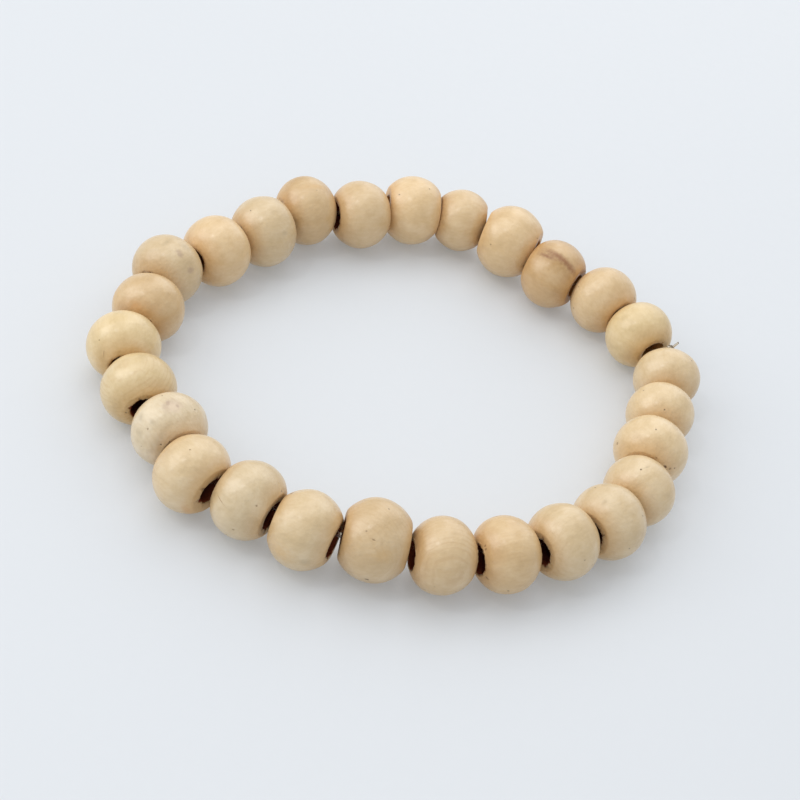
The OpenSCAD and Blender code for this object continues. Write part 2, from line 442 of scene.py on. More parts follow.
step = add(bead_tree, "GeometryNodeInputIndex").outputs[0]
share = bead_sum("DIVIDE", bead_sum("ADD", step, 1.0), WALL_STEPS + 1.0)
along = bead_sum("MULTIPLY", bead_sum("MULTIPLY_ADD", share, FAR - NEAR, NEAR), mouth_up)
wall = outline_points(bead_tree, WALL_STEPS, bead_sum("SUBTRACT", hole_r, LATHE), along,
                      bead_sum("ADD", step, 3 * STRETCH))
bead_tree.links.new(wall, outline.inputs[0])
print("outline arcs:", len(ARCS), "and the wall of the hole")

# %% Spin the outline
# Points nearer than this are one
WELD = 0.004 * MM

order = add(bead_tree, "GeometryNodeInputNamedAttribute", {"Name": "order"}).outputs["Attribute"]
line = then(bead_tree, outline.outputs[0], "PointsToCurves", {"Weight": order})
line = then(bead_tree, line, "SetSplineCyclic", {"Cyclic": True})
circle = add(bead_tree, "GeometryNodeCurvePrimitiveCircle",
             {"Resolution": given["Steps Round"], "Radius": LATHE}).outputs[0]
spun = then(bead_tree, circle, "CurveToMesh", {"Profile Curve": line})
spun = then(bead_tree, spun, "Transform", {"Rotation": (0, -QUARTER, 0)})
spun = then(bead_tree, spun, "MergeByDistance", {"Distance": WELD})
spun = then(bead_tree, spun, "SetShadeSmooth")

# The finish is laid on by place in the bead, so that place is stored before any wear
here = add(bead_tree, "GeometryNodeInputPosition").outputs[0]
spun = then(bead_tree, spun, "StoreNamedAttribute",
            {"Name": "in_bead", "Value": scaled(bead_tree, here, 1 / MM)},
            data_type="FLOAT_VECTOR")
print("bead tree:", len(bead_tree.nodes), "nodes")

# %% [markdown]
# ### Wear
#
# A real bead is never quite round. Its belly is a little uneven from sanding, the drill has
# broken small chips out of the dry wood at the mouths, and some ends were cut off slightly
# askew. All three could be modelled by hand on each bead. Here noise and a slant move the
# points of the spun mesh, and each bead's seed draws the noise afresh.

# %% Swell the belly
SWELL_WAVES = 0.22

# Noise keeps close to its middle, and this spreads it
SWELL_SPREAD = 4.0

# At the flats only this share of the swell is left, and it grows back over this stretch
FLAT_SHARE = 0.15
RIM_STRETCH = (0.1 * MM, 1.0 * MM)


def about_the_hole(tree, point, half_length):
    """A point in the bead as X, Y and Z, as a way across the hole, and how far it is from the
    hole's axis and from the nearer end."""
    parts = add(tree, "ShaderNodeSeparateXYZ", {0: point}).outputs
    across = add(tree, "ShaderNodeCombineXYZ", {1: parts[1], 2: parts[2]}).outputs[0]
    to_end = sum_of(tree, "SUBTRACT", half_length, sum_of(tree, "ABSOLUTE", parts[0]))
    return parts, across, vector_of(tree, "LENGTH", across), to_end


parts, across, from_axis, to_end = about_the_hole(bead_tree, here, half)
swell = noise(bead_tree, here, SWELL_WAVES / MM, 1.0, seed=given["Seed"])
swell = bead_sum("SUBTRACT", swell, 0.5)
on_belly = bead_fade(to_end, *RIM_STRETCH, FLAT_SHARE, 1.0)
outside = bead_fade(from_axis, hole_r, mouth_out)
swell = bead_sum("MULTIPLY", bead_sum("MULTIPLY", swell, given["Unevenness"]),
                 bead_sum("MULTIPLY", on_belly, outside))
skin_way = add(bead_tree, "GeometryNodeInputNormal").outputs[0]
swelling = scaled(bead_tree, skin_way, bead_sum("MULTIPLY", swell, SWELL_SPREAD))
print("swell:", SWELL_WAVES, "waves per mm")

# %% Chip the mouths
# Chips draw their own noise, and only its upper part bites
CHIP_SEED = 40.0
CHIP_WAVES = 1.5
CHIP_FROM, CHIP_FULL = 0.46, 0.66

# How far chips reach into the hole and out over the flat
CHIPS_IN = (0.1 * MM, 0.5 * MM)
CHIPS_OUT = 0.3 * MM

chip_seed = bead_sum("ADD", given["Seed"], CHIP_SEED)
rough = noise(bead_tree, here, CHIP_WAVES / MM, 4.0, 0.7, chip_seed)
near_end = bead_fade(to_end, *CHIPS_IN, 1.0, 0.0)
near_lip = bead_fade(from_axis, mouth_out, bead_sum("ADD", mouth_out, CHIPS_OUT), 1.0, 0.0)
at_mouth = bead_sum("MULTIPLY", near_end, near_lip)
bite = bead_sum("MULTIPLY", bead_fade(rough, CHIP_FROM, CHIP_FULL), at_mouth)
bite = bead_sum("MULTIPLY", bite, given["Chips"])
biting = scaled(bead_tree, vector_of(bead_tree, "NORMALIZE", across), bite)
worn = vector_of(bead_tree, "ADD", swelling, biting)
print("bead tree:", len(bead_tree.nodes), "nodes")

# %% Slant the ends
behind_end = bead_sum("MULTIPLY", half, -1.0)
ahead = bead_sum("MULTIPLY", bead_fade(parts[0], 0.0, half), given["Slant Ahead"])
behind = bead_sum("MULTIPLY", bead_fade(parts[0], 0.0, behind_end), given["Slant Behind"])
outer_side = bead_sum("MAXIMUM", parts[1], 0.0)
slide = bead_sum("MULTIPLY", outer_side, bead_sum("SUBTRACT", ahead, behind))
sliding = add(bead_tree, "ShaderNodeCombineXYZ", {0: slide}).outputs[0]
worn = vector_of(bead_tree, "ADD", worn, sliding)
spun = then(bead_tree, spun, "SetPosition", {"Offset": worn})
end_tree(bead_tree, spun, given["Wood"])

# %% [markdown]
# ## Wood under varnish
#
# The beads are one kind of wood, but each was cut from another spot, so no two have the same
# tone. One material for all of them would show the same pattern 27 times, so the recipe is a
# function, and each bead gets its own material from it. The pattern is read in the bead's own
# frame, which the tree stored on the mesh in mm: X runs along the hole and onward round the
# ring, Y points out of the ring and Z up, and the fibres lie along X.

# %% Where the pattern is read
# How far the pattern may move, in mm, and how far it may turn and tilt, in radians
PATTERN_REACH = 50
PATTERN_TURN = 6.28
PATTERN_TILT = 0.15

# Noise that is read in a space squeezed along the hole comes out as fibres
FIBRE_SQUEEZE = (0.22, 1.0, 1.0)


def pattern_places(tree, seed):
    """A point's place in the bead, in the pattern that this seed draws, and among its fibres."""
    in_bead = add(tree, "ShaderNodeAttribute", attribute_name="in_bead").outputs["Vector"]
    rng = np.random.default_rng(seed)
    moved = tuple(rng.uniform(-PATTERN_REACH, PATTERN_REACH, 3))
    turned = (rng.uniform(0, PATTERN_TURN), rng.uniform(-PATTERN_TILT, PATTERN_TILT),
              rng.uniform(-PATTERN_TILT, PATTERN_TILT))
    inputs = {"Vector": in_bead, "Location": moved, "Rotation": turned}
    spot = add(tree, "ShaderNodeMapping", inputs).outputs[0]
    inputs = {"Vector": spot, "Scale": FIBRE_SQUEEZE}
    return in_bead, spot, add(tree, "ShaderNodeMapping", inputs).outputs[0]


print("fibres are", round(1 / FIBRE_SQUEEZE[0], 1), "times as long as they are wide")

# %% [markdown]
# ### Tone
#
# Pale wood has broad clouds, faint rings, fine fibres and a soft mottle. Each is a noise of its own
# width. Their weighted sum is the figure, and a ramp turns it into colours from the bead's dark
# tone to its light one, matched to each bead by its mean colour. A few open pores are tiny dark
# dots, and a Voronoi texture scatters them.

# %% The figure of the wood
# Waves per mm, detail and roughness of each noise
GRAIN = {
    "cloud": (0.3, 2.0, 0.6),
    "fibre": (2.6, 4.0, 0.65),
    "mottle": (0.9, 3.0, 0.6),
    "crinkle": (2.5, 2.0, 0.5),
    "peel": (1.4, 3.0, 0.55),
}
RING = {"Scale": 0.11, "Distortion": 3.0, "Detail": 2.0, "Detail Scale": 1.5}
FIGURE = {"cloud": 0.52, "fibre": 0.34, "ring": 0.12, "mottle": 0.40}


def grain_of(tree, spot, fibres):
    """Every noise of the wood, by name."""
    grain = {name: noise(tree, fibres if name == "fibre" else spot, *waves)
             for name, waves in GRAIN.items()}
    rings = add(tree, "ShaderNodeTexWave", {"Vector": fibres, **RING},
                wave_type="BANDS", bands_direction="Y")
    grain["ring"] = rings.outputs["Fac"]
    return grain


def weighted(tree, grain, weights):
    """Noises added up, each times its weight."""
    total = 0.0
    for name, weight in weights.items():
        total = sum_of(tree, "MULTIPLY_ADD", grain[name], weight, total)
    return total


print("the figure is made of:", ", ".join(FIGURE))

# %% The tone of each bead
# Dark, middle and light colour
TONES = {
    "cream": ((0.571, 0.388, 0.183), (0.672, 0.475, 0.249), (0.754, 0.563, 0.331)),
    "soft": ((0.562, 0.403, 0.209), (0.662, 0.492, 0.275), (0.744, 0.580, 0.362)),
    "pale": ((0.552, 0.410, 0.225), (0.648, 0.499, 0.296), (0.730, 0.586, 0.382)),
    "chalk": ((0.566, 0.437, 0.255), (0.662, 0.534, 0.347), (0.739, 0.621, 0.448)),
    "honey": ((0.566, 0.369, 0.164), (0.667, 0.459, 0.230), (0.749, 0.547, 0.305)),
    "olive": ((0.552, 0.403, 0.191), (0.662, 0.495, 0.255), (0.749, 0.583, 0.336)),
    "amber": ((0.547, 0.335, 0.138), (0.643, 0.417, 0.194), (0.725, 0.505, 0.265)),
}
DARK_AT, MIDDLE_AT, LIGHT_AT = 0.38, 0.65, 0.92

# Beads of each tone; the others are cream
BEAD_TONES = {
    "soft": (1, 2, 3, 4, 5, 6, 10, 12, 17, 19), "pale": (11,), "chalk": (13,),
    "honey": (7, 16, 20), "olive": (14, 15, 27), "amber": (25,),
}
TONE_OF = {number: tone for tone, numbers in BEAD_TONES.items() for number in numbers}

# How much lighter than its tone a bead is
LIGHTNESS = {
    1: 1.04, 2: 1.10, 3: 1.11, 4: 1.03, 5: 0.97, 7: 0.98, 8: 0.95, 9: 0.91, 11: 1.01, 12: 1.05,
    13: 1.08, 14: 1.03, 15: 1.10, 16: 0.96, 17: 0.97, 18: 1.08, 19: 0.98, 20: 0.95, 21: 0.98,
    22: 1.10, 24: 1.06, 25: 0.93, 26: 1.02, 27: 1.08,
}


def tone_colour(tree, figure, number):
    """The figure as colours, from the bead's dark tone to its light one."""
    tone = TONES[TONE_OF.get(number, "cream")]
    lightness = LIGHTNESS.get(number, 1.0)
    dark, middle, light = (tuple(x * lightness for x in colour) + (1,) for colour in tone)
    ramp = add(tree, "ShaderNodeValToRGB", {"Fac": figure})
    stops = ramp.color_ramp.elements
    stops[0].position, stops[0].color = DARK_AT, dark
    stops[1].position, stops[1].color = LIGHT_AT, light
    stops.new(MIDDLE_AT).color = middle
    return ramp.outputs["Color"]


print("tones:", ", ".join(TONES))

# %% Pores
PORE_CELLS = 0.8
PORE_RADIUS = (0.03, 0.1)
PORE_COLOUR = (0.20, 0.12, 0.06, 1)
PORE_COVER = 0.6

# Only cells whose random draw is above this have a pore
PORE_DRAW = 0.8


def pores(tree, spot):
    """1 in a few tiny pores and 0 elsewhere."""
    inputs = {"Vector": spot, "Scale": PORE_CELLS, "Randomness": 1.0}
    cells = add(tree, "ShaderNodeTexVoronoi", inputs).outputs
    draw = add(tree, "ShaderNodeSeparateColor", {0: cells["Color"]}).outputs[0]
    dot = fade(tree, cells["Distance"], *PORE_RADIUS, 1.0, 0.0)
    return sum_of(tree, "MULTIPLY", dot, sum_of(tree, "GREATER_THAN", draw, PORE_DRAW))


print("one cell in", round(1 / (1 - PORE_DRAW)), "has a pore")

# %% [markdown]
# ### Growth lines
#
# A tree grows in layers. Over a bead they are nearly flat, and the round bead cuts them into
# nested ovals, like contour lines on a hill. So the lines are a wave of the distance along the
# layers' own direction, and the ovals lie about the point where that direction leaves the bead.
# Where a bead's ovals show well, their middle is listed. Elsewhere it is drawn.

# %% Growth lines
# Distance between two lines and how far they wander, in mm
LAYER = 0.5
WANDER = 1.1

# Waves per mm of the noise that they wander by, and of the one that hides them in places
WANDER_WAVES = 0.5
PATCH_WAVES = 0.6
PATCH_EDGE = (0.35, 0.6)

LINE_TINT = (0.80, 0.68, 0.54, 1)
FAINT = 0.07
LAYER_SEED = 100

# Half of a bead's length in mm, near enough for all
HALF_BEAD = 3

# Strength, and the middle of the ovals: mm along the hole and degrees round it from the top
LAYERED = {
    6: (0.12, 1.0, 60), 7: (0.12, 0.0, 110), 8: (0.26, 0.0, 72), 9: (0.16, 2.0, 70),
    13: (0.18, -1.0, 100), 14: (0.28, 0.5, 30),
}


def layers_of(number):
    """Strength and middle of a bead's ovals."""
    rng = np.random.default_rng(LAYER_SEED + number)
    drawn = (FAINT, rng.uniform(-HALF_BEAD, HALF_BEAD), rng.uniform(-180, 180))
    return LAYERED.get(number, drawn)


def growth_lines(tree, in_bead, spot, fibres, layers):
    """How strong a growth line is at each point."""
    strength, along, turn = layers
    turn = math.radians(turn)
    way = Vector((along / HALF_BEAD, math.sin(turn), math.cos(turn))).normalized()
    depth = vector_of(tree, "DOT_PRODUCT", in_bead, way)
    wander = noise(tree, fibres, WANDER_WAVES)
    wandered = sum_of(tree, "MULTIPLY_ADD", wander, WANDER, depth)
    phase = sum_of(tree, "MULTIPLY", wandered, 2 * math.pi / LAYER)
    line = fade(tree, sum_of(tree, "SINE", phase), 0.1, 1.0)
    patchy = fade(tree, noise(tree, spot, PATCH_WAVES), *PATCH_EDGE)
    return sum_of(tree, "MULTIPLY", sum_of(tree, "MULTIPLY", line, patchy), strength)


print("beads with clear growth lines:", len(LAYERED))

# %% [markdown]
# ### Marks of single beads
#
# Use and the wood itself leave pits, specks, grazes, stains and dark streaks of heartwood.
# Scattered by noise they would fall anywhere, so the larger ones are charted one by one. Each is a
# soft spot with a crinkled edge, laid flat on the skin of its bead.

# %% The chart of marks
# What a mark looks like: its colour, how far it covers the wood, its depth and its softness
MARK_KINDS = {
    "pit": ((0.16, 0.08, 0.03), 0.85, 1.0, 0.1),
    "speck": ((0.26, 0.15, 0.07), 0.6, 0.3, 0.1),
    "heart": ((0.27, 0.115, 0.05), 0.8, 0.0, 0.7),
    "stain": ((0.42, 0.24, 0.08), 0.5, 0.0, 0.7),
    "smudge": ((0.36, 0.28, 0.17), 0.35, 0.0, 0.8),
    "graze": ((0.44, 0.31, 0.22), 0.6, 0.1, 0.4),
    "bare": ((0.79, 0.63, 0.45), 0.7, 0.0, 0.4),
    "honey": ((0.66, 0.42, 0.18), 0.5, 0.0, 0.7),
    "orange": ((0.66, 0.36, 0.13), 0.5, 0.0, 0.7),
    "pale": ((0.82, 0.68, 0.48), 0.6, 0.0, 0.7),
}

# The marks of each bead: kind, place along the hole and round the bead from the top outwards
# (mm and degrees), half of its length and of its width, and its slant from the hole's way
MARKS = {
    3: (("speck", 1.86, -80, 0.22, 0.22, 0), ("speck", 3.15, 24, 0.2, 0.13, 90),
        ("pit", 3.0, 58, 0.26, 0.17, 60), ("speck", 2.7, 68, 0.2, 0.15, 0)),
    4: (("pit", 1.0, -7, 0.14, 0.12, 0), ("smudge", 0.3, -2, 0.7, 0.12, 25)),
    5: (("smudge", 1.7, -8, 0.5, 0.3, 0),),
    7: (("speck", 3.1, 2, 0.2, 0.12, 0), ("speck", 3.15, 12, 0.2, 0.12, 0),
        ("speck", 3.1, 99, 0.25, 0.15, 0), ("pit", 1.1, 106, 0.16, 0.12, 0)),
    8: (("speck", 2.05, 119, 0.3, 0.15, 0),),
    9: (("pit", 0.24, 108, 0.28, 0.14, 0), ("speck", 1.38, 32, 0.14, 0.1, 0),
        ("speck", 0.52, 42, 0.22, 0.09, 20), ("honey", -0.8, 60, 1.6, 1.0, 0)),
    10: (("pit", 2.62, -25, 0.3, 0.14, 10), ("honey", 1.1, 90, 1.6, 1.3, 0),
         ("smudge", -1.7, 91, 0.9, 0.5, 0)),
    11: (("smudge", -3.0, -42, 0.35, 0.3, 0), ("heart", 1.44, 61, 0.9, 0.05, 15),
         ("speck", -2.2, 40, 0.12, 0.12, 0), ("speck", -1.05, 94, 0.15, 0.12, 0)),
    12: (("speck", 0.06, 12, 0.12, 0.12, 0), ("orange", -2.6, 120, 0.6, 1.6, 0)),
    13: (("pale", 0.4, 40, 1.6, 1.0, 20), ("graze", -0.3, 5, 1.05, 1.35, 0),
         ("bare", -0.6, 3, 0.8, 0.95, 0), ("graze", 0.15, 9, 0.35, 0.25, 30),
         ("graze", -0.6, -2, 0.3, 0.22, 0), ("smudge", 0.8, 53, 0.6, 0.4, 30),
         ("smudge", -0.3, 70, 0.7, 0.5, 0), ("smudge", -0.7, 43, 0.5, 0.3, 0),
         ("speck", -0.92, 55, 0.13, 0.13, 0), ("smudge", -2.3, 60, 0.5, 2.0, 0)),
    15: (("heart", -2.9, 59, 0.5, 0.06, 50), ("speck", -1.8, 51, 0.12, 0.12, 0)),
    16: (("orange", -2.9, 18, 0.7, 0.8, 0), ("honey", -1.0, 70, 2.0, 1.2, 0)),
    17: (("graze", -0.6, -23, 0.45, 0.7, 20), ("graze", -0.7, -55, 0.6, 0.5, 0),
         ("smudge", -0.25, 6, 0.8, 0.4, 0), ("smudge", 0.8, -20, 0.5, 0.8, 0)),
    19: (("smudge", 0.5, -55, 0.5, 0.4, 0),),
    20: (("stain", -1.4, 25, 2.4, 1.3, 0), ("honey", 0.6, -6, 2.4, 0.5, 5)),
    25: (("stain", 0.5, -31, 4.0, 1.4, 3), ("stain", 0.3, -26, 3.0, 0.8, 2),
         ("heart", 1.0, -20, 5.5, 0.55, 4), ("heart", -1.0, -28, 1.5, 0.3, 0)),
    26: (("speck", 2.84, 47, 0.16, 0.16, 0),),
}
print("marks:", sum(len(marks) for marks in MARKS.values()), "on", len(MARKS), "beads")

# %% Put the marks on
# How deep a spot reaches into the wood in mm, and how far its edge crinkles, in spot radii
MARK_REACH = 1.5
CRINKLED = 0.9

# In spot radii: where a hard spot starts to fade and where it ends, and how much sooner a soft
# one starts and how much later it ends
FADE_FROM, SOONER = 1.1, 1.0
FADE_TO, LATER = 1.4, 0.6


def mark_mask(tree, in_bead, crinkle, mark, radius, softness):
    """1 inside a long soft spot on the bead's skin, and 0 away from it, with a crinkled edge."""
    _, along, turn, half_length, half_width, slant = mark
    turn, slant = math.radians(turn), math.radians(slant)
    belly = radius - BELLY_IN
    out = BELLY_IN + math.sqrt(max(0.0, belly * belly - along * along))
    outwards = Vector((0, math.sin(turn), math.cos(turn)))
    spot = Vector((along, 0, 0)) + out * outwards
    normal = (spot - BELLY_IN * outwards).normalized()
    round_way = Vector((0, math.cos(turn), -math.sin(turn)))
    hole_way = normal.cross(round_way)
    long_way = math.cos(slant) * hole_way + math.sin(slant) * round_way
    wide_way = math.sin(slant) * hole_way - math.cos(slant) * round_way
    spot_frame = Matrix((long_way, wide_way, normal)).transposed()
    inputs = {"Vector": in_bead, "Location": spot, "Rotation": spot_frame.to_euler(),
              "Scale": (half_length, half_width, MARK_REACH)}
    place = add(tree, "ShaderNodeMapping", inputs, vector_type="TEXTURE").outputs[0]
    reach = sum_of(tree, "MULTIPLY_ADD", crinkle, CRINKLED, vector_of(tree, "LENGTH", place))
    start, end = FADE_FROM - SOONER * softness, FADE_TO + LATER * softness
    return fade(tree, reach, start, end, 1.0, 0.0)


def put_marks_on(tree, colour, in_bead, crinkle, marks, radius):
    """The colour with a bead's marks, how deep they are, and how far they dull the varnish."""
    dent = dull = 0.0
    for mark in marks:
        mark_colour, strength, depth, softness = MARK_KINDS[mark[0]]
        mask = mark_mask(tree, in_bead, crinkle, mark, radius, softness)
        cover = sum_of(tree, "MULTIPLY", mask, strength)
        colour = blend(tree, cover, colour, mark_colour + (1,))
        dull = sum_of(tree, "MAXIMUM", cover, dull)
        if depth:
            dent = sum_of(tree, "MULTIPLY_ADD", mask, depth, dent)
    return colour, dent, dull


print("kinds of mark:", ", ".join(MARK_KINDS))

# %% [markdown]
# ### Rim and hole
#
# Where the beads meet, their rims get a warm painted shade. The wall of the hole gets a dark
# painted shade, the shade of a deep, narrow bore. In most beads the mouth gets only a brown painted
# shade and the darkest shade lies in the depth, but in those whose hole is worn wide the dark
# painted shade reaches right up to the mouth. Both are told by a point's distance from the axis and
# from the end, so no part of the mesh has to be picked out by hand.

# %% Rim and hole
# Diameters in mm. The beads that aren't named have a plain hole
PLAIN_HOLE = 2.8
WIDE_HOLES = {
    5: 2.95, 6: 2.85, 7: 3.05, 8: 2.85, 9: 3.1, 10: 3.3, 11: 3.05, 12: 2.85, 14: 2.82, 21: 3.1,
}
# Painted shade of the hole: dark red-brown deep in the bore and at the mouth of a wide hole, and
# brown at the mouth of a plain one
HOLE_SHADE_DEEP = (0.075, 0.011, 0.004, 1)
HOLE_SHADE_EDGE = (0.22, 0.042, 0.012, 1)
MOUTH_SHADE_TINT = (0.66, 0.46, 0.28, 1)
# Warm painted shade on the rims, where the beads meet and shade each other
RIM_SHADE_TINT = (0.84, 0.64, 0.42, 1)
RIM_SHADE_STRENGTH = 0.45

# In mm: where the rim's painted shade starts to fade and ends, and how far the clouds shift that
RIM_SHADE_FADE = (0.4, 2.6)
RIM_SHADE_SHIFT = 1.4

# In mm: how far into the hole its painted shade starts to deepen, and where it has deepened
WIDE_SHADE_TURN = (0.1, 1.6)
PLAIN_SHADE_TURN = (0.8, 3.0)

# In mm: how far round the hole its painted shade reaches, how ragged that edge is and how wide, and
# how wide the edge of the bumps is
MOUTH_REACH = 0.1
RAGGED = 0.12
COLOUR_EDGE = 0.1
BUMP_EDGE = 0.2


def tint_rim(tree, colour, cloud, to_end):
    """The colour with painted shade on the rim, which the clouds make wider here and narrower
    there.
    """
    reach = sum_of(tree, "MULTIPLY_ADD", cloud, RIM_SHADE_SHIFT, to_end)
    share = fade(tree, reach, *RIM_SHADE_FADE, RIM_SHADE_STRENGTH, 0.0)
    return blend(tree, share, colour, RIM_SHADE_TINT, "MULTIPLY")


def wall_colour(tree, colour, to_end, hole):
    """The painted shade on the hole's wall, from its mouth into its depth."""
    if hole > PLAIN_HOLE:
        return blend(tree, fade(tree, to_end, *WIDE_SHADE_TURN), HOLE_SHADE_EDGE, HOLE_SHADE_DEEP)
    mouth_shade_colour = blend(tree, 1.0, colour, MOUTH_SHADE_TINT, "MULTIPLY")
    return blend(tree, fade(tree, to_end, *PLAIN_SHADE_TURN), mouth_shade_colour, HOLE_SHADE_EDGE)


def hole_masks(tree, crinkle, from_axis, hole):
    """1 in the hole, for its painted shade; and 0 there but 1 on the skin, for the bumps."""
    edge = sum_of(tree, "MULTIPLY_ADD", crinkle, RAGGED, from_axis)
    start = hole / 2 + MOUTH_REACH
    inside = fade(tree, edge, start, start + COLOUR_EDGE, 1.0, 0.0)
    return inside, fade(tree, edge, start, start + BUMP_EDGE)


print("holes worn wide:", len(WIDE_HOLES), "up to", max(WIDE_HOLES.values()), "mm")

# %% [markdown]
# ### Varnish
#
# A thin satin varnish follows the wood's small bumps. It is the shader's coat: clearer and
# smoother than the wood, and thin or gone where beads rub, where a mark broke it and in the
# hole. A Bump node does the small relief, because real bumps would cost millions of faces.

# %% Varnish
RELIEF = {"peel": 1.0, "fibre": 0.2, "mottle": 0.8}
RELIEF_DEPTH = 0.10 * MM

# The skin is smoothest at this roughness and this much rougher at most; the hole is bare
SMOOTHEST, ROUGHER = 0.34, 0.2
BARE_ROUGHNESS = 0.9

# How full the varnish is, how much of it is rubbed off at the ends, and how far from them in mm
VARNISH = 0.6
RUBBED = 0.8
RUBBED_FADE = (0.1, 0.8)
VARNISH_LOOKS = {
    "Coat Roughness": 0.27, "Coat IOR": 1.75, "IOR": 1.5, "Specular IOR Level": 0.35,
}


def relief(tree, grain, pore, dent, skin):
    """The wood's small bumps, with its pores and dents, on the skin only."""
    height = weighted(tree, grain, RELIEF)
    height = sum_of(tree, "SUBTRACT", sum_of(tree, "SUBTRACT", height, pore), dent)
    return bump(tree, sum_of(tree, "MULTIPLY", height, skin), 1.0, RELIEF_DEPTH)


print("relief:", round(RELIEF_DEPTH / MM, 2), "mm deep")


# %% The whole recipe
def wood(name, number, bead, hole):
    """Varnished wood for one bead. Its number is the seed, so that no two beads match."""
    material, tree, shader = new_material(name)
    layers = layers_of(number)
    in_bead, spot, fibres = pattern_places(tree, number)
    grain = grain_of(tree, spot, fibres)
    half_length, radius = bead["length"] / MM / 2, bead["diameter"] / MM / 2
    _, _, from_axis, to_end = about_the_hole(tree, in_bead, half_length)

    colour = tone_colour(tree, weighted(tree, grain, FIGURE), number)
    pore = pores(tree, spot)
    colour = blend(tree, sum_of(tree, "MULTIPLY", pore, PORE_COVER), colour, PORE_COLOUR)
    lines = growth_lines(tree, in_bead, spot, fibres, layers)
    colour = blend(tree, lines, colour, LINE_TINT, "MULTIPLY")
    colour, dent, dull = put_marks_on(tree, colour, in_bead, grain["crinkle"],
                                      MARKS.get(number, ()), radius)
    # The rims, where the beads meet, get their painted shade
    colour = tint_rim(tree, colour, grain["cloud"], to_end)
    inside, skin = hole_masks(tree, grain["crinkle"], from_axis, hole)
    # The wall of the hole gets its painted shade
    colour = blend(tree, inside, colour, wall_colour(tree, colour, to_end, hole))

    rubbed = fade(tree, to_end, *RUBBED_FADE, RUBBED, 0.0)
    dull = sum_of(tree, "MAXIMUM", sum_of(tree, "MAXIMUM", inside, rubbed), dull)
    gloss = sum_of(tree, "MULTIPLY_ADD", grain["peel"], ROUGHER, SMOOTHEST)
    dress(tree, shader, {
        "Base Color": colour,
        "Roughness": blend_number(tree, inside, gloss, BARE_ROUGHNESS),
        "Normal": relief(tree, grain, pore, dent, skin),
        "Coat Weight": blend_number(tree, dull, VARNISH, 0.0),
        **VARNISH_LOOKS,
    })
    return material


# %% [markdown]
# ## The beads
#
# Each bead is made by the one tree from its own measures, and then laid where the exact bead
# is. A maker object carries the tree, its final shape is copied as a plain mesh, and the maker
# goes. The copy is moved in its mesh, not as an object, so every piece sits at the origin.


# %% Helpers for pieces
def evaluated_copy(obj, name):
    """The object's final shape as a plain mesh object at the origin; the first object goes."""
    graph = bpy.context.evaluated_depsgraph_get()
    mesh = bpy.data.meshes.new_from_object(obj.evaluated_get(graph))
    bpy.data.objects.remove(obj)
    mesh.name = name
    return link_in(bpy.data.objects.new(name, mesh))


def with_tree(name, tree, **inputs):
    """An empty mesh object that carries a Geometry Nodes tree with these inputs."""
    obj = link_in(bpy.data.objects.new(name, bpy.data.meshes.new(name)))
    modifier = obj.modifiers.new("nodes", "NODES")
    modifier.node_group = tree
    for item in tree.interface.items_tree:
        key = item.name.lower().replace(" ", "_")
        if item.in_out == "INPUT" and key in inputs:
            modifier[item.identifier] = inputs[key]
    return obj


# %% Make the beads
# Beads with fuller shoulders than the rest: belly in and rim round, in mm
SQUARER = {
    9: (0.4, 0.9), 10: (0.4, 0.6), 21: (0.5, 0.5), 22: (0.5, 0.5), 23: (0.35, 0.6), 24: (0.5, 0.6),
}

# Beads whose ends aren't square: how much longer the outer side is ahead and behind, per mm
SLANTED = {
    8: (0.06, 0.03), 9: (0.06, 0.0), 10: (0.0, -0.07), 22: (0.05, 0.03), 23: (0.05, 0.05),
    24: (0.05, 0.05), 25: (0.07, 0.06), 26: (0.06, 0.07), 27: (0.0, 0.06),
}

# Depth of the chips at the mouth of a plain hole and of a wide one, in mm
PLAIN_CHIPS = 0.22
WIDE_CHIPS = 0.3


def make_bead(number, name, bead):
    """Turns a bead from its own measures and lays it where the exact one is."""
    hole = WIDE_HOLES.get(number, PLAIN_HOLE)
    chips = WIDE_CHIPS if hole > PLAIN_HOLE else PLAIN_CHIPS
    belly_in, rim_round = SQUARER.get(number, (BELLY_IN, RIM_ROUND))
    slant_ahead, slant_behind = SLANTED.get(number, (0.0, 0.0))
    maker = with_tree("maker", bead_tree, diameter=bead["diameter"], length=bead["length"],
                      hole=hole * MM, belly_in=belly_in * MM, rim_round=rim_round * MM,
                      slant_ahead=slant_ahead, slant_behind=slant_behind, chips=chips * MM,
                      seed=float(number), wood=wood(name + "_wood", number, bead, hole))
    piece = evaluated_copy(maker, name + "_turned")
    x = bead["along"]
    z = Vector((0, 0, 1))
    turned = Matrix((x, z.cross(x), z)).transposed().to_4x4()
    piece.data.transform(Matrix.Translation(bead["middle"]) @ turned)
    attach(piece, "root")
    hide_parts(name)
    return piece


turned_beads = [make_bead(i + 1, name, sizes[i]) for i, name in enumerate(BEADS)]
faces = sum(len(piece.data.polygons) for piece in turned_beads)
print("turned beads:", len(turned_beads), "faces:", faces)

# %% [markdown]
# ## The cord
#
# The elastic is clear and round. It runs straight through each bead and bends only in the gaps,
# where it lies against the inner side of the holes. The exact cord already says where: the mean
# of its corner points at each gap is a point of the route. A short tree rounds the bends of any
# route and lays a tube along it.

# %% A tree for a cord on a route
BEND_STEPS = 6


def tube_on_route(tree, given, steps_round):
    """A tube along the tree's Route, with rounded bends and closed ends."""
    line = then(tree, given["Route"], "MeshToCurve")
    bends = {"Count": BEND_STEPS, "Radius": given["Bend"], "Limit Radius": True}
    line = then(tree, line, "FilletCurve", bends, mode="POLY")
    ring = {"Resolution": steps_round, "Radius": sum_of(tree, "MULTIPLY", given["Thickness"], 0.5)}
    ring = add(tree, "GeometryNodeCurvePrimitiveCircle", ring).outputs[0]
    return then(tree, line, "CurveToMesh", {"Profile Curve": ring, "Fill Caps": True})


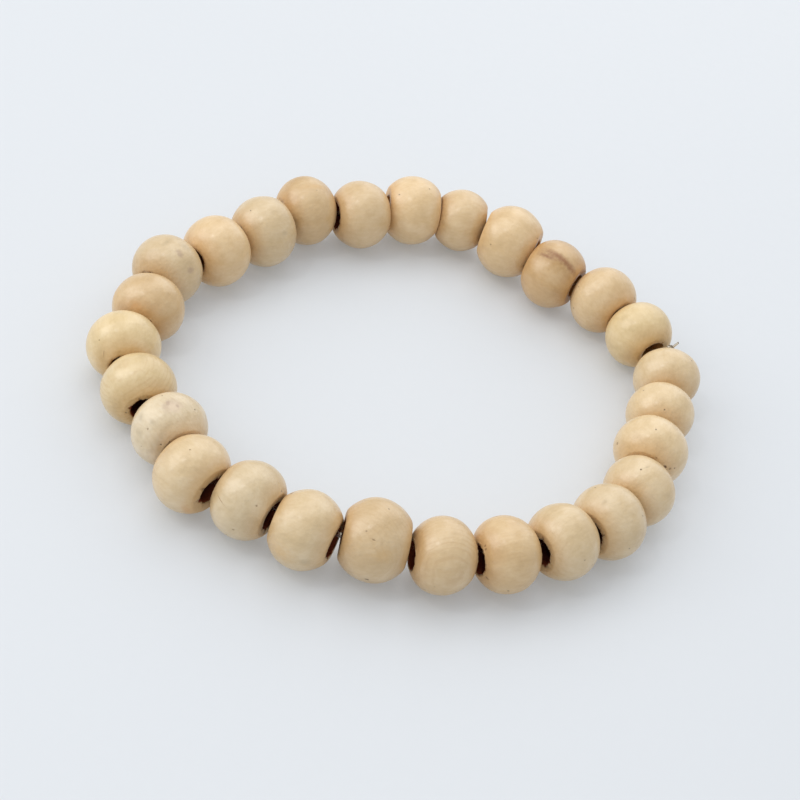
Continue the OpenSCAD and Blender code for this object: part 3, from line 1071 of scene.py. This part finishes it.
cord_tree, given = new_tree("cord_on_a_route", {
    "Route": "Geometry", "Thickness": 0.56 * MM, "Bend": 3.0 * MM, "Steps Round": 24,
    "Elastic": "Material",
})
tube = tube_on_route(cord_tree, given, given["Steps Round"])
tube = then(cord_tree, tube, "SetShadeSmooth")
end_tree(cord_tree, tube, given["Elastic"])

# %% [markdown]
# ### Clear elastic
#
# Stretch cord is clear plastic, a little hazy from handling. A plain grey tube would stand out
# in the dark gaps, so its shader lets nearly all light through. A soft noise is the haze.

# %% Clear elastic
HAZE_WAVES = 0.8 / MM
ELASTIC_TINTS = ((0.76, 0.66, 0.50, 1), (0.88, 0.82, 0.70, 1))

clear, tree, shader = new_material("clear_elastic")
haze = noise(tree, add(tree, "ShaderNodeTexCoord").outputs["Object"], HAZE_WAVES)
dress(tree, shader, {
    "Base Color": blend(tree, haze, *ELASTIC_TINTS),
    "Roughness": fade(tree, haze, 0.2, 0.8, 0.10, 0.22),
    "Transmission Weight": 0.95,
    "IOR": 1.46,
})
print("elastic:", clear.name)


# %% The cord's route
def mouth(i, end):
    """The middle of a bead's end: 1 is ahead, and -1 is behind."""
    bead = sizes[i % len(sizes)]
    return bead["middle"] + end * bead["length"] / 2 * bead["along"]


gaps = [(mouth(i, 1) + mouth(i + 1, -1)) / 2 for i in range(len(sizes))]
last = len(gaps) - 1
cord_points = triangles_of(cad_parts["elastic_cord"]).reshape(-1, 3)
cord_points = np.unique(np.round(cord_points / MM, 3), axis=0) * MM
nearest = np.argmin(np.linalg.norm(cord_points[:, None] - np.array(gaps)[None], axis=2), axis=1)

# The last gap holds the knot, and the cord starts on one side of it and ends on the other
knot_points = cord_points[nearest == last]
knot_middle = knot_points.mean(axis=0)
through_knot = np.array((sizes[-1]["along"] + sizes[0]["along"]).normalized())
side = (knot_points - knot_middle) @ through_knot
route = [knot_points[side > 0].mean(axis=0)]
route += [cord_points[nearest == i].mean(axis=0) for i in range(last)]
route += [knot_points[side < 0].mean(axis=0)]
cord_length = sum(np.linalg.norm(b - a) for a, b in zip(route, route[1:]))
print("cord route:", len(route), "points,", round(cord_length / MM, 1), "mm")


# %% Lay the cord
def with_route(name, tree, routes, **inputs):
    """An object whose mesh is one or more lines of points, under a Geometry Nodes tree."""
    obj = with_tree(name, tree, **inputs)
    places, edges = [], []
    for line in routes:
        edges += [(len(places) + k, len(places) + k + 1) for k in range(len(line) - 1)]
        places += [tuple(p) for p in line]
    obj.data.from_pydata(places, edges, [])
    return obj


cord = evaluated_copy(with_route("maker", cord_tree, [route], elastic=clear), "cord_run")
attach(cord, "root")
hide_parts("elastic_cord")
print("cord faces:", len(cord.data.polygons))

# %% [markdown]
# ## The knot
#
# The two ends of the cord are tied between the last bead and the first. The knot is a small
# lump of tight turns, with a second, smaller lump beside it where the ends leave it. Real
# turns of cord would hardly show at this size, so the skin is a ball with a ridge that winds
# round it. Two cut ends stick out of the gap and curl a little.

# %% A tree for a knot
END_STEPS_ROUND = 20

knot_tree, given = new_tree("knot", {
    "Route": "Geometry", "Thickness": 0.28 * MM, "Bend": 2.0 * MM, "Middle": "Vector",
    "Axis": "Vector", "Radius": 0.66 * MM, "Ridge": 0.13 * MM, "Turns": 3.0,
    "Second Middle": "Vector", "Second Size": 0.62, "Elastic": "Material",
})
knot_sum = partial(sum_of, knot_tree)

ball = add(knot_tree, "GeometryNodeMeshIcoSphere", {"Radius": 1.0, "Subdivisions": 5}).outputs[0]
on_ball = add(knot_tree, "GeometryNodeInputPosition").outputs[0]
x, y, z = add(knot_tree, "ShaderNodeSeparateXYZ", {0: on_ball}).outputs
winding = knot_sum("MULTIPLY", given["Turns"], math.pi)
wind = knot_sum("MULTIPLY_ADD", z, winding, knot_sum("ARCTAN2", y, x))
ridge = knot_sum("ABSOLUTE", knot_sum("COSINE", wind))
reach = knot_sum("MULTIPLY_ADD", ridge, given["Ridge"], given["Radius"])
lumpy = scaled(knot_tree, on_ball, reach)
wound = then(knot_tree, ball, "SetPosition", {"Position": lumpy})

aim = {"Vector": given["Axis"]}
aim = add(knot_tree, "FunctionNodeAlignEulerToVector", aim, axis="Z").outputs[0]
first = then(knot_tree, wound, "Transform",
             {"Translation": given["Middle"], "Rotation": aim})
smaller = add(knot_tree, "ShaderNodeCombineXYZ", {k: given["Second Size"] for k in range(3)})
second = then(knot_tree, wound, "Transform", {"Scale": smaller.outputs[0]})
second = then(knot_tree, second, "Transform",
              {"Translation": given["Second Middle"], "Rotation": aim})
ends = tube_on_route(knot_tree, given, END_STEPS_ROUND)

both = add(knot_tree, "GeometryNodeJoinGeometry")
for shape in (first, second, ends):
    knot_tree.links.new(shape, both.inputs[0])
tied = then(knot_tree, both.outputs[0], "SetShadeSmooth")
end_tree(knot_tree, tied, given["Elastic"])

# %% Tie the knot
# Places from the knot's middle in mm: out of the ring, up, and onward through the beads
TAILS = (
    ((0.3, 0.2, 0.0), (1.4, 1.5, 0.1), (1.9, 2.6, 0.3)),
    ((0.3, -0.1, 0.0), (1.6, -0.2, -0.1), (2.4, -0.5, -0.2)),
)
SECOND_LUMP = (1.3, 1.4, 0.1)

outward = np.array((-through_knot[1], through_knot[0], 0.0))
upward = np.array((0.0, 0.0, 1.0))


def from_knot(place):
    """A place from the knot's middle, as a point of the frame."""
    out, up, on = place
    return knot_middle + (out * outward + up * upward + on * through_knot) * MM


tails = [[from_knot(place) for place in tail] for tail in TAILS]
maker = with_route("maker", knot_tree, tails, middle=Vector(knot_middle),
                   axis=Vector(through_knot), second_middle=Vector(from_knot(SECOND_LUMP)),
                   elastic=clear)
knot = evaluated_copy(maker, "knot_tied")
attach(knot, "root")
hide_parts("knot")
print("knot faces:", len(knot.data.polygons))
